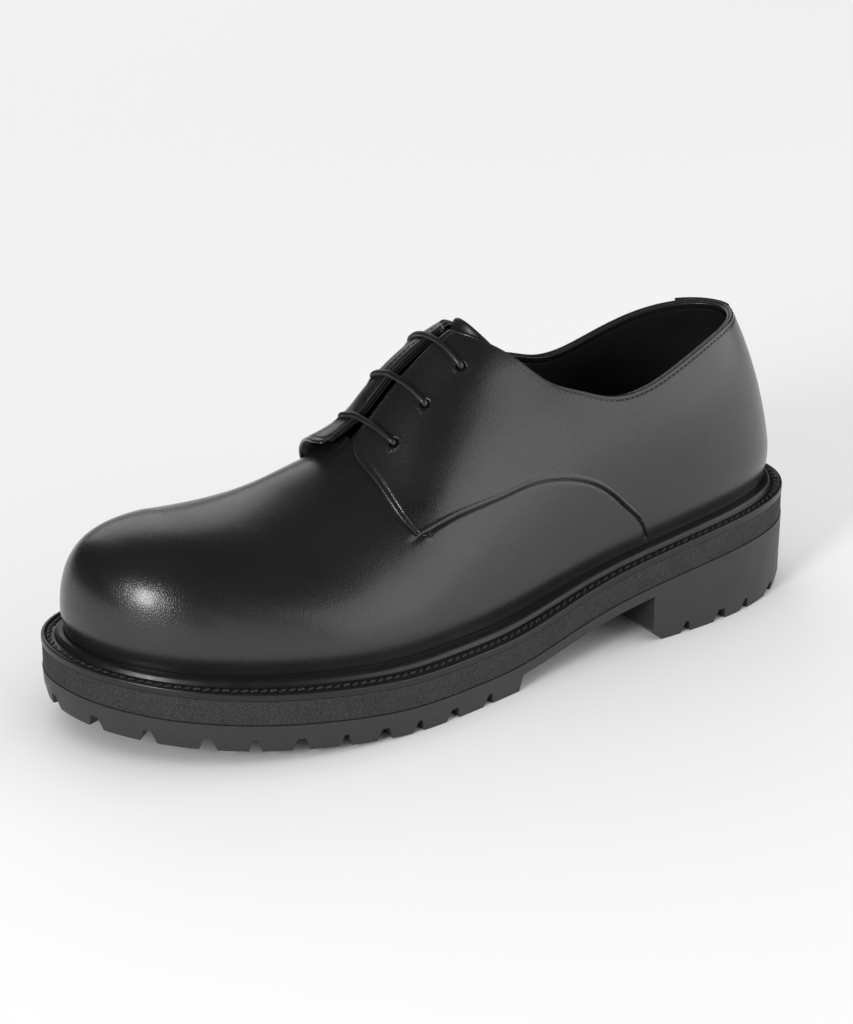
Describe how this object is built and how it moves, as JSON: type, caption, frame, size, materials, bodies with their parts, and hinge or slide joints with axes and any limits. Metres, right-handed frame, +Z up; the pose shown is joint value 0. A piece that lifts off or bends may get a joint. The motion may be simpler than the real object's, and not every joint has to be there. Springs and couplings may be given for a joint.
{
  "type": "derby shoe",
  "caption": "Chunky round-toed leather derby for the left foot, on a welted platform sole with a lugged tread and a block heel.",
  "frame": {"origin": "on the floor, under the middle of the sole's length and width", "axes": "+Z up, +Y from the toe to the heel, +X towards the outer side of the left foot"},
  "size_m": [0.118, 0.305, 0.1271],
  "materials": {
    "lug_rubber": "moulded rubber, smooth satin sides",
    "midsole_rubber": "fine-grained matt rubber",
    "welt_rubber": "satin, with a stitched channel",
    "insole_leather": "smooth lining leather",
    "upper_leather": "polished smooth leather with a fine grain",
    "tongue_leather": "smooth leather, less polished",
    "lace_cotton": "thin round waxed cotton"
  },
  "bodies": {
    "root": {"outsole": "lug_rubber", "midsole": "midsole_rubber", "welt": "welt_rubber", "insole": "insole_leather", "upper": "upper_leather", "tongue": "tongue_leather", "heel_tab": "upper_leather", "lace": "lace_cotton"}
  },
  "joints": []
}
